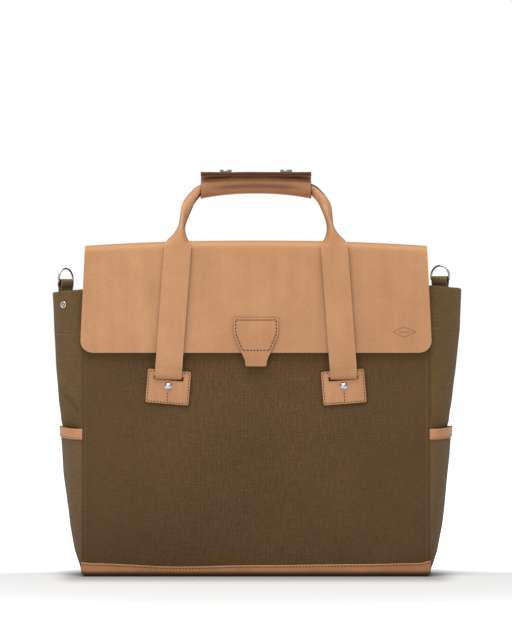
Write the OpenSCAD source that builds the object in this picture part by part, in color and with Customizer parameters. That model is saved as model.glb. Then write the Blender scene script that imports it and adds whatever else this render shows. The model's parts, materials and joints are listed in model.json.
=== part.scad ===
// Canvas and leather satchel with a full-width flap, two rolled handles and side pockets.
// Millimetres, +Z up, front towards -Y, origin at the middle of the base underside.

/* [Body] */
// Width of the front and back panels
panel_width = 400; // [340:1:460]
// Height of the front and back panels
panel_height = 372; // [360:1:376]
// Height of the side gussets
gusset_height = 328; // [310:1:340]
// Depth of the body at its base
base_depth = 110; // [100:1:130]
// How far each gusset stands out at its top
gusset_bulge = 35; // [25:0.5:38]
// Thickness of the canvas
canvas_thickness = 1.8; // [1:0.1:2.2]
// Thickness of the heavy leather
leather_thickness = 3; // [2:0.1:3.4]

/* [Base] */
// Height of the leather turned up along the base
trim_height = 14; // [10:0.5:20]
// Thickness of the stiffener under the contents
board_thickness = 3; // [2:0.5:4]

/* [Side pockets] */
// Height of the pocket mouths
pocket_height = 172; // [140:1:185]
// Height of the leather band round each mouth
band_height = 12; // [8:0.5:18]

/* [Flap] */
// Height of the flap's top face
flap_top = 386; // [384:0.5:390]
// Height of the flap's lower edge
flap_bottom = 256.5; // [245:0.5:270]
// Half width of the flap along its top
flap_half_top = 196; // [180:1:205]
// Half width of the flap along its lower edge
flap_half_bottom = 202; // [180:1:208]
// Thickness of the flap leather
flap_thickness = 2.6; // [2:0.1:3]
// Outer radius of the flap's front bend
flap_bend = 10; // [8:0.5:12]
// Outer face of the flap's front, in front of the middle
flap_front = 44.8; // [43.8:0.1:46]

/* [Closure] */
// Width of the closure tab where it is sewn on
tab_width = 52; // [40:1:60]
// Width of the closure tab at its lower end
tab_end_width = 25; // [18:1:34]
// Height of the closure tab's upper edge
tab_top = 297; // [290:1:310]
// Height of the closure tab's lower end
tab_bottom = 241; // [238:1:250]

/* [Handle mounts] */
// Half the distance between the patch centres
patch_x = 101; // [90:1:110]
// Height of the patch centres
patch_z = 218; // [216:1:222]
// Width of each patch
patch_width = 50; // [44:1:56]
// Height of each patch
patch_height = 39; // [36:1:44]
// Lean of the patches and straps, in degrees
strap_lean = 4.6; // [3:0.1:6]
// Diameter of the rivet heads
rivet_head = 9.5; // [8:0.1:11]
// Diameter of the rivet shanks
rivet_shank = 3; // [2.4:0.1:3.6]

/* [Handles] */
// Width of the flat straps
strap_width = 32; // [26:0.5:36]
// Diameter of the rolled part of the handles
roll_diameter = 10.8; // [9:0.1:11]
// Height of the straight part of the rolls
roll_z = 449.5; // [444:0.5:452]
// Half the length of the straight part of the rolls
roll_half = 63; // [58:0.5:66]
// Place of the front roll, in front of the middle
front_roll_y = 9.5; // [9:0.1:12]
// Place of the back roll, behind the middle
back_roll_y = 9; // [8.5:0.1:12]
// Outer diameter of the grip wrap
grip_diameter = 21; // [20:0.5:22]

/* [Rings] */
// Outer width of the D-rings
ring_width = 26; // [24:0.5:28]
// Diameter of the ring wire
ring_wire = 2.4; // [2:0.1:2.6]
// Place of the left ring round the gusset, in degrees from the side
left_ring_angle = 40; // [40:1:58]
// Place of the right ring round the gusset, in degrees from the side
right_ring_angle = 58; // [50:1:62]
// Height of the left ring's bar
left_ring_z = 338.5; // [337:0.5:344]
// Height of the right ring's bar
right_ring_z = 342; // [337:0.5:346]

/* [Hidden] */
$fn = 64;

canvas_colour = [0.39, 0.29, 0.20];
lining_colour = [0.45, 0.36, 0.25];
leather_colour = [0.79, 0.58, 0.42];
trim_colour = [0.68, 0.47, 0.33];
steel_colour = [0.70, 0.70, 0.69];
board_colour = [0.24, 0.22, 0.20];
cord_colour = [0.86, 0.82, 0.72];

gap = 0.1;
base_z = leather_thickness;
half_width = panel_width / 2;
half_base = base_depth / 2;
lining_thickness = 1.5;
facing_height = 42;
arc_steps = 16;
gusset_inset = 2.6;

// The panels bend only at these heights, so the patches sit on one flat stretch
flat_bottom = 190;
flat_top = 245;
panel_levels = [base_z, 30, 60, 100, 145, flat_bottom, flat_top, gusset_height, panel_height];
gusset_levels = [3.2, 12, 24, 40, 60, 85, 110, 135, 160, 175, 188, 202, 230, 265, 300, 328];
level_scale = gusset_height / 328;

// Outward reach of the side at a height, and how far its canvas sits back from that
function side_reach(z) = gusset_bulge * (1 - pow(1 - min(z, gusset_height) / gusset_height, 2.3));
function side_recess(z) = lookup(z / level_scale, [[0, 9], [175, 9], [202, 2.8], [260, 1.5], [300, 0.5], [328, 0]]);
function gusset_reach(z) = max(2.5, side_reach(z) - side_recess(z));

// Half depth of the body, from a gusset of constant cloth width
function true_depth(z) = sqrt(pow(half_base, 2) - 4 / 3 * pow(side_reach(z), 2));
depth_points = [for (z = panel_levels) [z, true_depth(z)]];
function half_depth(z) = lookup(z, depth_points);

patch_tilt = atan((half_depth(flat_bottom) - half_depth(flat_top)) / (flat_top - flat_bottom));
patch_y = half_depth(patch_z);

// Straps: centre lines from the slot up to the start of the roll
strap_pivot_y = patch_y + leather_thickness + 1.5;
strap_pivot_z = 226.5;
front_strap_y = flap_front + 2 + leather_thickness / 2;
back_strap_y = 45.7;

hinge_y = 40;
hinge_z = flap_top - flap_thickness - 0.2;

function unit(v) = v / norm(v);
function flat(lists) = [for (list = lists) for (item = list) item];

// A closed skin over rings that each hold the same number of points
module loft(rings) {
    count = len(rings[0]);
    last = len(rings) - 1;
    sides = [for (i = [0 : last - 1]) for (j = [0 : count - 1])
        let (k = (j + 1) % count, a = i * count + j, b = i * count + k, c = a + count, d = b + count)
        each [[a, c, b], [b, c, d]]];
    first_cap = [[for (j = [0 : count - 1]) j]];
    last_cap = [[for (j = [count - 1 : -1 : 0]) last * count + j]];
    polyhedron(points = flat(rings), faces = concat(sides, first_cap, last_cap), convexity = 6);
}

// A wall between an outer and an inner sheet, each given as rows of points
module shell(outer, inner) {
    rows = len(outer);
    count = len(outer[0]);
    half = rows * count;
    outside = [for (i = [0 : rows - 2]) for (j = [0 : count - 2])
        let (a = i * count + j, b = a + 1, c = a + count, d = c + 1)
        each [[a, c, b], [b, c, d]]];
    inside = [for (i = [0 : rows - 2]) for (j = [0 : count - 2])
        let (a = half + i * count + j, b = a + 1, c = a + count, d = c + 1)
        each [[a, b, c], [b, d, c]]];
    bottom = [for (j = [0 : count - 2]) let (a = j, b = j + 1)
        each [[a, b, half + a], [b, half + b, half + a]]];
    top_row = (rows - 1) * count;
    top = [for (j = [0 : count - 2]) let (a = top_row + j, b = a + 1)
        each [[a, half + a, b], [b, half + a, half + b]]];
    start = [for (i = [0 : rows - 2]) let (a = i * count, c = a + count)
        each [[a, half + a, c], [c, half + a, half + c]]];
    end = [for (i = [0 : rows - 2]) let (a = i * count + count - 1, c = a + count)
        each [[a, c, half + a], [c, half + c, half + a]]];
    polyhedron(points = concat(flat(outer), flat(inner)),
        faces = concat(outside, inside, bottom, top, start, end), convexity = 6);
}

// One level of a side: half an ellipse from the front seam round to the back seam
function side_row(z, reach, depth) = [for (i = [0 : arc_steps])
    let (a = -90 + 180 * i / arc_steps)
    [half_width + 0.2 + reach * cos(a), depth * sin(a), z]];

module right_side_shell(levels, reach_in, thickness, depth_in) {
    outer = [for (k = [0 : len(levels) - 1]) side_row(levels[k], reach_in[k] + thickness, depth_in[k] + thickness)];
    inner = [for (k = [0 : len(levels) - 1]) side_row(levels[k], reach_in[k], depth_in[k])];
    shell(outer, inner);
}

// A body panel as seen from the side, bent at panel_levels
module panel_profile() {
    outer = [for (z = panel_levels) [-half_depth(z), z]];
    inner = [for (k = [len(panel_levels) - 1 : -1 : 0])
        [-half_depth(panel_levels[k]) + canvas_thickness, panel_levels[k]]];
    polygon(concat(outer, inner));
}

module along_x(length) {
    rotate([90, 0, 90])
        linear_extrude(length, center = true)
            children();
}

// Puts its children on the front left patch: +Z up the patch, -Y away from the panel
module at_patch() {
    translate([-patch_x, -patch_y, patch_z])
        rotate([-patch_tilt, 0, 0])
            rotate([0, strap_lean, 0])
                children();
}

module both_sides() {
    children();
    mirror([1, 0, 0]) children();
}

module rivet_hole(diameter) {
    translate([0, 10, 0])
        rotate([90, 0, 0])
            cylinder(d = diameter, h = 20);
}

/* Body */

module base_leather() {
    trim_y = half_base + 0.2;
    color(trim_colour)
        along_x(panel_width + 5)
            difference() {
                translate([-trim_y - leather_thickness, 0])
                    square([2 * (trim_y + leather_thickness), trim_height]);
                translate([-trim_y, base_z])
                    square([2 * trim_y, trim_height]);
            }
}

module bottom_panel() {
    color(canvas_colour)
        translate([-half_width, -half_base + 2.4, base_z])
            cube([panel_width, base_depth - 4.8, canvas_thickness]);
}

module base_board() {
    inset = 6;
    color(board_colour)
        translate([-half_width + inset, -half_base + inset, base_z + canvas_thickness])
            cube([panel_width - 2 * inset, base_depth - 2 * inset, board_thickness]);
}

module front_panel() {
    color(canvas_colour)
        difference() {
            along_x(panel_width) panel_profile();
            both_sides() at_patch() rivet_hole(rivet_shank + 0.2);
        }
}

module back_panel() {
    mirror([0, 1, 0]) front_panel();
}

module front_facing() {
    color(lining_colour)
        translate([-half_width, -half_depth(panel_height) + canvas_thickness + gap, panel_height - facing_height])
            cube([panel_width, lining_thickness, facing_height]);
}

module back_facing() {
    mirror([0, 1, 0]) front_facing();
}

module right_gusset_canvas() {
    levels = [for (z = gusset_levels) z * level_scale];
    right_side_shell(levels,
        [for (z = levels) gusset_reach(z) - canvas_thickness],
        canvas_thickness,
        [for (z = levels) half_depth(z) - gusset_inset - canvas_thickness]);
}

module right_gusset() {
    color(canvas_colour) right_gusset_canvas();
}

snap_z = 312;
snap_angle = 47;

// Puts its children on the gusset's outer face, +Z pointing away from it
module at_gusset_snap() {
    reach = gusset_reach(snap_z);
    depth = half_depth(snap_z) - gusset_inset;
    translate([-half_width - 0.2 - reach * cos(snap_angle), -depth * sin(snap_angle), snap_z])
        rotate([0, 0, 180 + snap_angle])
            rotate([0, 90, 0])
                children();
}

module left_gusset() {
    color(canvas_colour)
        difference() {
            mirror([1, 0, 0]) right_gusset_canvas();
            at_gusset_snap()
                translate([0, 0, -6])
                    cylinder(d = 3.6, h = 12);
        }
}

module gusset_snap() {
    cap = 8.6;
    color(steel_colour)
        at_gusset_snap()
            union() {
                translate([0, 0, 0.4]) cylinder(d = cap, h = 1.4);
                translate([0, 0, -3.4]) cylinder(d = 3, h = 4);
                translate([0, 0, -4]) cylinder(d = cap, h = 1.2);
            }
}

pocket_levels = [6, 24, 45, 70, 95, 120, 145, pocket_height];
pocket_thickness = 1.5;

module right_pocket() {
    color(lining_colour)
        right_side_shell(pocket_levels,
            [for (z = pocket_levels) max(3.2, side_reach(z) - 0.6 - pocket_thickness)],
            pocket_thickness,
            [for (z = pocket_levels) half_depth(z) - 0.1 - pocket_thickness]);
}

module left_pocket() {
    mirror([1, 0, 0]) right_pocket();
}

module right_pocket_band() {
    levels = [pocket_height - band_height + 1, pocket_height - band_height / 2, pocket_height + 1];
    color(leather_colour)
        right_side_shell(levels,
            [for (z = levels) side_reach(z) - 0.3],
            lining_thickness,
            [for (z = levels) half_depth(z) + 0.2]);
}

module left_pocket_band() {
    mirror([1, 0, 0]) right_pocket_band();
}

/* Rings and their loops */

bar_half = (ring_width - ring_wire) / 2;
ring_side = 3.8;
loop_width = 20;
loop_drop = 33;
loop_inset = 6;
loop_wall = 1.4;
loop_play = 0.4;
loop_stem = 2.4;

// Puts its children at a ring's bar: +X along the bar, +Y away from the bag
module at_ring(angle, z) {
    reach = gusset_reach(z);
    depth = half_depth(z) - gusset_inset;
    normal = unit([depth * cos(angle), reach * sin(angle)]);
    place = [half_width + 0.2 + reach * cos(angle), depth * sin(angle)] - loop_inset * normal;
    translate([place.x, place.y, z])
        rotate([0, 0, atan2(normal.y, normal.x) - 90])
            children();
}

module ring_loop() {
    color(canvas_colour)
        difference() {
            union() {
                rotate([0, 90, 0]) cylinder(r = ring_wire / 2 + loop_play + loop_wall, h = loop_width, center = true);
                translate([-loop_width / 2, -loop_stem / 2, -loop_drop]) cube([loop_width, loop_stem, loop_drop]);
            }
            rotate([0, 90, 0]) cylinder(r = ring_wire / 2 + loop_play, h = loop_width + 2, center = true);
        }
}

module d_ring() {
    wire = ring_wire / 2;
    color(steel_colour)
        union() {
            rotate([0, 90, 0]) cylinder(r = wire, h = 2 * bar_half, center = true);
            for (side = [-1, 1])
                translate([side * bar_half, 0, 0]) {
                    sphere(r = wire);
                    cylinder(r = wire, h = ring_side);
                }
            translate([0, 0, ring_side])
                rotate([90, 0, 0])
                    rotate_extrude(angle = 180)
                        translate([bar_half, 0]) circle(r = wire);
        }
}

module right_ring_loop() {
    at_ring(right_ring_angle, right_ring_z) ring_loop();
}

module left_ring_loop() {
    mirror([1, 0, 0]) at_ring(left_ring_angle, left_ring_z) ring_loop();
}

module right_ring() {
    at_ring(right_ring_angle, right_ring_z) d_ring();
}

module left_ring() {
    mirror([1, 0, 0]) at_ring(left_ring_angle, left_ring_z) d_ring();
}

/* Handle mounts */

slot_rise = strap_pivot_z - patch_z - 1;
tail_height = 20;
tail_thickness = 1.5;

module patch_front_left() {
    color(leather_colour)
        at_patch()
            difference() {
                translate([-patch_width / 2, -leather_thickness, -patch_height / 2])
                    cube([patch_width, leather_thickness, patch_height]);
                // Room behind the patch for the strap's tail
                translate([-strap_width / 2 - 0.4, -tail_thickness - gap, slot_rise - tail_height - 0.4])
                    cube([strap_width + 0.8, tail_thickness + 1, tail_height + 0.8]);
                // Slot that the strap comes out of
                translate([-strap_width / 2 - 0.4, -leather_thickness - 1, slot_rise - 3.2])
                    cube([strap_width + 0.8, leather_thickness + 2, 3.4]);
                rivet_hole(rivet_shank + 0.2);
            }
}

module patch_front_right() {
    mirror([1, 0, 0]) patch_front_left();
}

module patch_back_left() {
    mirror([0, 1, 0]) patch_front_left();
}

module patch_back_right() {
    mirror([0, 1, 0]) patch_front_right();
}

module strap_tails_front() {
    color(leather_colour)
        both_sides() at_patch()
            difference() {
                translate([-strap_width / 2, -tail_thickness - gap / 2, slot_rise - tail_height])
                    cube([strap_width, tail_thickness, tail_height]);
                rivet_hole(rivet_shank + 0.2);
            }
}

module strap_tails_back() {
    mirror([0, 1, 0]) strap_tails_front();
}

module front_pads() {
    both_sides() at_patch()
        difference() {
            translate([-patch_width / 2 + 4, canvas_thickness + gap, -patch_height / 2 + 4])
                cube([patch_width - 8, lining_thickness, patch_height - 8]);
            rivet_hole(rivet_shank + 0.2);
        }
}

module reinforcement_pads() {
    color(trim_colour) {
        front_pads();
        mirror([0, 1, 0]) front_pads();
    }
}

module rivets_front() {
    inner_face = canvas_thickness + lining_thickness + 2 * gap;
    dome_height = 2.4;
    dome_radius = (pow(rivet_head / 2, 2) + pow(dome_height, 2)) / (2 * dome_height);
    color(steel_colour)
        both_sides() at_patch()
            union() {
                // Domed head on the patch
                translate([0, -leather_thickness, 0])
                    intersection() {
                        translate([0, dome_radius - dome_height, 0]) sphere(r = dome_radius);
                        rotate([90, 0, 0]) cylinder(d = rivet_head + 1, h = dome_height + 1);
                    }
                // Shank through the patch, tail, panel and pad
                translate([0, inner_face + 0.5, 0])
                    rotate([90, 0, 0])
                        cylinder(d = rivet_shank, h = inner_face + 0.5 + leather_thickness + 0.5);
                // Burr inside the bag
                translate([0, inner_face + 1.2, 0])
                    rotate([90, 0, 0])
                        cylinder(d = rivet_head - 1.5, h = 1.2);
            }
}

module rivets_back() {
    mirror([0, 1, 0]) rivets_front();
}

/* Flap and closure */

flap_inner = flap_front - flap_thickness;
flap_corner = 15;

module flap_profile() {
    bend_y = -flap_front + flap_bend;
    bend_z = flap_top - flap_bend;
    translate([-flap_front, flap_bottom])
        square([flap_thickness, bend_z - flap_bottom]);
    translate([bend_y, flap_top - flap_thickness])
        square([hinge_y - bend_y, flap_thickness]);
    translate([bend_y, bend_z])
        intersection() {
            difference() {
                circle(r = flap_bend);
                circle(r = flap_bend - flap_thickness);
            }
            translate([-flap_bend, 0]) square([flap_bend, flap_bend]);
        }
}

// Half of the flap's outline seen from the front, from the top down
function flap_half_outline() = concat(
    [[flap_half_top, flap_top + 1], [flap_half_top, flap_top - flap_bend]],
    [for (a = [0 : 15 : 90])
        [flap_half_bottom - flap_corner + flap_corner * cos(a), flap_bottom + flap_corner - flap_corner * sin(a)]]);

module flap() {
    depth = flap_front + hinge_y + 10;
    right = flap_half_outline();
    left = [for (k = [len(right) - 1 : -1 : 0]) [-right[k].x, right[k].y]];
    color(leather_colour)
        intersection() {
            along_x(2 * flap_half_bottom + 2) flap_profile();
            translate([0, hinge_y + 5, 0])
                rotate([90, 0, 0])
                    linear_extrude(depth)
                        polygon(concat(right, left));
        }
}

module flap_anchor() {
    anchor_height = 48;
    inner = half_depth(panel_height) + gap;
    color(leather_colour)
        translate([-flap_half_top, inner, hinge_z - anchor_height])
            cube([2 * flap_half_top, hinge_y - inner, anchor_height - 0.1]);
}

tab_thickness = 2;

module closure_tab() {
    shoulder_z = tab_top - 20;
    outline = [
        [-tab_width / 2, tab_top], [tab_width / 2, tab_top], [tab_width / 2, shoulder_z],
        [tab_end_width / 2, tab_bottom + 5], [tab_end_width / 2, tab_bottom],
        [-tab_end_width / 2, tab_bottom], [-tab_end_width / 2, tab_bottom + 5], [-tab_width / 2, shoulder_z]
    ];
    color(leather_colour)
        translate([0, -flap_front, 0])
            rotate([90, 0, 0])
                linear_extrude(tab_thickness)
                    polygon(outline);
}

magnet_z = 280;
magnet_diameter = 15;

module closure_magnet() {
    color(steel_colour)
        translate([0, -flap_inner, magnet_z])
            rotate([-90, 0, 0])
                cylinder(d = magnet_diameter, h = 1.2);
}

module closure_plate() {
    color(steel_colour)
        translate([0, -half_depth(gusset_height) - gusset_inset, magnet_z])
            rotate([-90, 0, 0])
                cylinder(d = magnet_diameter, h = 1.2);
}

/* Handles */

// Stations up a strap: [side, height, inward step, width, thickness, roundness]
strap_stations = [
    [102.2, strap_pivot_z, 0, 1, 1, 0],
    [100.3, 250, 0, 1, 1, 0],
    [90.2, 376, 0, 1, 1, 0],
    [89.2, 386, 0.6, 0.84, 1.1, 0.1],
    [87.6, 395, 4.5, 0.56, 1.5, 0.4],
    [86.2, 403, 11, 0.32, 2.2, 0.7],
    [84.8, 413, 19, 0.26, 2.9, 1],
    [82, 424, 26, 0.32, 3.3, 1],
    [78.3, 431, 30.5, 0.33, 3.5, 1],
    [72, 438.5, 34.5, 0.338, 3.6, 1],
    [67.5, 443.5, 37, 0.338, 3.6, 1]
];

// Points of one strap's centre line, ending at the straight roll
function strap_points(strap_y, roll_y) = concat(
    [[-strap_stations[0].x, -strap_pivot_y, strap_pivot_z]],
    [for (k = [1 : len(strap_stations) - 1])
        let (s = strap_stations[k], share = s[2] / 38.8)
        [-s.x, -strap_y + share * (strap_y - roll_y), s.y]],
    [[-roll_half - gap, -roll_y, roll_z]]);

// A cross-section that goes from a flat strap to a round roll
function strap_ring(centre, along, width, thickness, roundness) =
    let (out = unit([0, 1, 0] - along.y * along), across = cross(out, along),
        power = 0.25 + 0.75 * roundness)
    [for (i = [0 : 15]) let (a = 22.5 * i + 11.25, c = cos(a), s = sin(a))
        centre + across * (width / 2 * sign(c) * pow(abs(c), power))
            + out * (thickness / 2 * sign(s) * pow(abs(s), power))];

module strap(strap_y, roll_y) {
    points = strap_points(strap_y, roll_y);
    last = len(points) - 1;
    rings = [for (k = [0 : last])
        let (along = k == last ? [1, 0, 0] : unit(points[k + 1] - points[max(k - 1, 0)]),
            s = strap_stations[min(k, last - 1)],
            width = k == last ? roll_diameter : strap_width * s[3],
            thickness = k == last ? roll_diameter : leather_thickness * s[4])
        strap_ring(points[k], along, width, thickness, s[5])];
    color(leather_colour) loft(rings);
}

module front_strap_left() {
    strap(front_strap_y, front_roll_y);
}

module front_strap_right() {
    mirror([1, 0, 0]) front_strap_left();
}

module back_strap_left() {
    mirror([0, 1, 0]) strap(back_strap_y, back_roll_y);
}

module back_strap_right() {
    mirror([1, 0, 0]) back_strap_left();
}

// A tube along the straight part of a handle
module handle_tube(y, outer_radius, inner_radius, half_length) {
    translate([-half_length, y, roll_z])
        rotate([0, 90, 0])
            difference() {
                cylinder(r = outer_radius, h = 2 * half_length);
                translate([0, 0, -1]) cylinder(r = inner_radius, h = 2 * half_length + 2);
            }
}

roll_wall = 2;
core_radius = roll_diameter / 2 - roll_wall - gap;
wrap_wall = 2.4;
wrap_radius = grip_diameter / 2;

module front_roll() {
    color(leather_colour)
        handle_tube(-front_roll_y, roll_diameter / 2, roll_diameter / 2 - roll_wall, roll_half);
}

module back_roll() {
    color(leather_colour)
        handle_tube(back_roll_y, roll_diameter / 2, roll_diameter / 2 - roll_wall, roll_half);
}

module cord_core(y) {
    color(cord_colour)
        translate([-roll_half, y, roll_z])
            rotate([0, 90, 0])
                cylinder(r = core_radius, h = 2 * roll_half);
}

module front_cord_core() {
    cord_core(-front_roll_y);
}

module back_cord_core() {
    cord_core(back_roll_y);
}

module grip_filler() {
    color(cord_colour)
        handle_tube(-front_roll_y, wrap_radius - wrap_wall - gap, roll_diameter / 2 + gap, roll_half - 2);
}

// The wrap's own lower flange and the flap that snaps down on it
flange_z = 461.4;
flange_thickness = 1.6;
flange_back = 1.5;
flange_front = 24.5;
cover_z = flange_z + flange_thickness + 0.3;
cover_thickness = 2.5;
stud_x = 35;
stud_y = 15;
post_diameter = 4.4;

module grip_wrap() {
    flange_depth = flange_front - flange_back;
    color(leather_colour)
        difference() {
            union() {
                handle_tube(-front_roll_y, wrap_radius, wrap_radius - wrap_wall, roll_half + 1);
                translate([-roll_half - 1, -flange_front, flange_z])
                    cube([2 * roll_half + 2, flange_depth, flange_thickness]);
                translate([-roll_half - 1, -flange_back - 2, roll_z + 4])
                    cube([2 * roll_half + 2, 2, flange_z - roll_z - 3]);
            }
            translate([-roll_half - 2, -front_roll_y, roll_z])
                rotate([0, 90, 0])
                    cylinder(r = wrap_radius - wrap_wall, h = 2 * roll_half + 4);
            for (side = [-1, 1])
                translate([side * stud_x, -stud_y, flange_z - 1])
                    cylinder(d = 3.2, h = flange_thickness + 2);
        }
}

module wrap_studs() {
    color(steel_colour)
        for (side = [-1, 1])
            translate([side * stud_x, -stud_y, 0])
                union() {
                    translate([0, 0, flange_z - 0.1]) cylinder(d = 3, h = flange_thickness + 0.2);
                    translate([0, 0, flange_z + flange_thickness]) cylinder(d = post_diameter, h = 2.6);
                }
}

module grip_flap() {
    color(leather_colour)
        difference() {
            translate([-roll_half - 1, -flange_front - 1, cover_z])
                cube([2 * roll_half + 2, flange_front + 1, cover_thickness]);
            for (side = [-1, 1])
                translate([side * stud_x, -stud_y, cover_z - 1])
                    cylinder(d = post_diameter + 1.4, h = cover_thickness + 2);
        }
}

module snap_caps() {
    cap_diameter = 14;
    cap_height = 2.6;
    color(steel_colour)
        for (side = [-1, 1])
            translate([side * stud_x, -stud_y, cover_z + cover_thickness])
                difference() {
                    cylinder(d = cap_diameter, h = cap_height);
                    translate([0, 0, -1]) cylinder(d = post_diameter + 1.4, h = 2.2);
                }
}

base_leather();
bottom_panel();
base_board();
front_panel();
back_panel();
front_facing();
back_facing();
left_gusset();
right_gusset();
left_pocket();
right_pocket();
left_pocket_band();
right_pocket_band();
gusset_snap();
left_ring_loop();
right_ring_loop();
patch_front_left();
patch_front_right();
patch_back_left();
patch_back_right();
strap_tails_front();
strap_tails_back();
reinforcement_pads();
rivets_front();
rivets_back();
flap_anchor();
closure_plate();
flap();
closure_tab();
closure_magnet();
front_strap_left();
front_strap_right();
front_roll();
front_cord_core();
grip_filler();
grip_wrap();
wrap_studs();
grip_flap();
snap_caps();
back_strap_left();
back_strap_right();
back_roll();
back_cord_core();
left_ring();
right_ring();
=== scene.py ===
import bpy
import json
import math
from mathutils import Matrix, Vector, noise


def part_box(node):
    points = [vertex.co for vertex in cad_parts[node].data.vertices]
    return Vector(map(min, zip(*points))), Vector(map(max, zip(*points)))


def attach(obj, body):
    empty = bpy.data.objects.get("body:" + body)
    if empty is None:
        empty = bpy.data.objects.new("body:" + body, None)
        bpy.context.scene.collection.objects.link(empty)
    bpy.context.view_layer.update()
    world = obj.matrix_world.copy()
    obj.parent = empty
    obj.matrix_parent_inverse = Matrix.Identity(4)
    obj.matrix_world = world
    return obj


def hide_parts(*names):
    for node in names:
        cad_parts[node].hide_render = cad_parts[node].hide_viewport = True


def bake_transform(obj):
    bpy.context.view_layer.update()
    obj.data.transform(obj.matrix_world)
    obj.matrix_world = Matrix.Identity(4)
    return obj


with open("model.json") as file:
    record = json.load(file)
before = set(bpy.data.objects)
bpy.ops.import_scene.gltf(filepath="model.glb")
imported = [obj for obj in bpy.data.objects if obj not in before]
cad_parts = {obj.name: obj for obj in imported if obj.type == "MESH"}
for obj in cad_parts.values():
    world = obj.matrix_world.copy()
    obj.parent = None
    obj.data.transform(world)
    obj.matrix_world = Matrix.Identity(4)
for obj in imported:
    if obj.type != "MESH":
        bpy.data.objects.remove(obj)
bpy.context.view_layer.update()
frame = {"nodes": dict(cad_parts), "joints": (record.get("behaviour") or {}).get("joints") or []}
mm = 0.001
print("frame loaded")


# places taken from the frame
panelLow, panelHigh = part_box("front_panel")
gussetLow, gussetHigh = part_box("right_gusset")
trimLow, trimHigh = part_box("base_leather")
flapLow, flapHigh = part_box("flap")
anchorLow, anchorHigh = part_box("flap_anchor")
pocketLow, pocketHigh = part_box("right_pocket")
tabLow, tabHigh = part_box("closure_tab")
rollLow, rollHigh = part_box("front_roll")
backRollLow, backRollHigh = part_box("back_roll")
coverLow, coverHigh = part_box("grip_flap")
capLow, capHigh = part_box("snap_caps")

halfWidth = panelHigh[0]
halfBase = -panelLow[1]
panelTop = panelHigh[2]
gussetTop = gussetHigh[2]
reachTop = gussetHigh[0] - halfWidth - 0.2 * mm
facings = ((-1, "front"), (1, "back"))
sides = ((-1, "left"), (1, "right"))


def clamp(value, low=0.0, high=1.0):
    return max(low, min(high, value))


def smooth(value):
    t = clamp(value)
    return t * t * (3 - 2 * t)


def between(table, value, bend=clamp):    # from one (place, amount) pair to the next; smooth rounds the steps
    if value <= table[0][0]:
        return table[0][1]
    for (a, fa), (b, fb) in zip(table, table[1:]):
        if value <= b:
            return fa + (fb - fa) * bend((value - a) / (b - a))
    return table[-1][1]


def edgeDense(t, pull=0.8):    # 0..1 to 0..1, closer steps at both ends
    return t - pull * math.sin(2 * math.pi * t) / (2 * math.pi)


def spread(t, pull):    # the same from -1 to 1
    return 2 * edgeDense(t, pull) - 1


def ripple(x, y, seed, size):    # smooth bumps, about size across, from -1 to 1
    return noise.noise(Vector((x / size, y / size, seed)))


def hill(value, middle, width):    # 1 at the middle, dying away to both sides
    return math.exp(-((value - middle) / width) ** 2)


def cornerCut(edge, radius):    # how much a rounded corner takes off, edge away from its end
    return radius - math.sqrt(max(0.0, radius ** 2 - (radius - edge) ** 2)) if edge < radius else 0.0


# ---- making and finishing meshes

def deselectAll():
    if bpy.context.object and bpy.context.object.mode != "OBJECT":
        bpy.ops.object.mode_set(mode="OBJECT")
    bpy.ops.object.select_all(action="DESELECT")


def makeActive(piece):
    deselectAll()
    piece.select_set(True)
    bpy.context.view_layer.objects.active = piece


def nameIt(piece, name):
    piece.name = name
    piece.data.name = name
    return piece


def joinPieces(pieces, name):
    deselectAll()
    for piece in pieces:
        piece.select_set(True)
    bpy.context.view_layer.objects.active = pieces[0]
    bpy.ops.object.join()
    return nameIt(bpy.context.object, name)


def turnOutward(piece, weld=False):
    makeActive(piece)
    bpy.ops.object.mode_set(mode="EDIT")
    bpy.ops.mesh.select_all(action="SELECT")
    if weld:
        bpy.ops.mesh.remove_doubles(threshold=0.02 * mm)
    bpy.ops.mesh.normals_make_consistent(inside=False)
    bpy.ops.object.mode_set(mode="OBJECT")


def gridSheet(name, grid, place, clothSize, materials, closed=False):
    # a flat grid whose points are laid at place(u, v); its UV map is in metres
    deselectAll()
    bpy.ops.mesh.primitive_grid_add(x_subdivisions=grid[0], y_subdivisions=grid[1], size=1)
    sheet = nameIt(bpy.context.object, name)
    for material in materials:
        sheet.data.materials.append(material)
    for point in sheet.data.vertices:
        point.co = place(point.co.x + 0.5, point.co.y + 0.5)
    for corner in sheet.data.uv_layers[0].data:
        corner.uv = (corner.uv[0] * clothSize[0], corner.uv[1] * clothSize[1])
    if closed:
        turnOutward(sheet, weld=True)
    return sheet


def useModifier(piece, kind, **settings):
    makeActive(piece)
    modifier = piece.modifiers.new(kind.title(), kind)
    for key, value in settings.items():
        setattr(modifier, key, value)
    bpy.ops.object.modifier_apply(modifier=modifier.name)


def roundEdges(piece, width, segments=2, angle=50, edgeSlot=-1):
    useModifier(piece, "BEVEL", width=width, segments=segments, limit_method="ANGLE",
                angle_limit=math.radians(angle), use_clamp_overlap=True, material=edgeSlot)


def smoothShade(piece, angle=40):
    makeActive(piece)
    bpy.ops.object.shade_smooth_by_angle(angle=math.radians(angle))


def giveThickness(sheet, thickness, rounding=0):
    # the material slots are the face's, then the cut edge's and the inside's if they differ
    slots = sheet.data.materials
    useModifier(sheet, "SOLIDIFY", thickness=thickness, offset=-1.0, use_even_offset=False,
                material_offset=2 if len(slots) > 2 else 0, material_offset_rim=min(1, len(slots) - 1))
    if rounding:
        # burnished pieces get their rounded edges in the burnished colour, which also paints shade along them
        roundEdges(sheet, rounding, edgeSlot=1 if burnishedAndShadedEdge in slots.values() else -1)
    smoothShade(sheet)
    return sheet


def thickSheet(name, grid, place, clothSize, materials, thickness, rounding=0):
    return giveThickness(gridSheet(name, grid, place, clothSize, materials), thickness, rounding)


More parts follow.
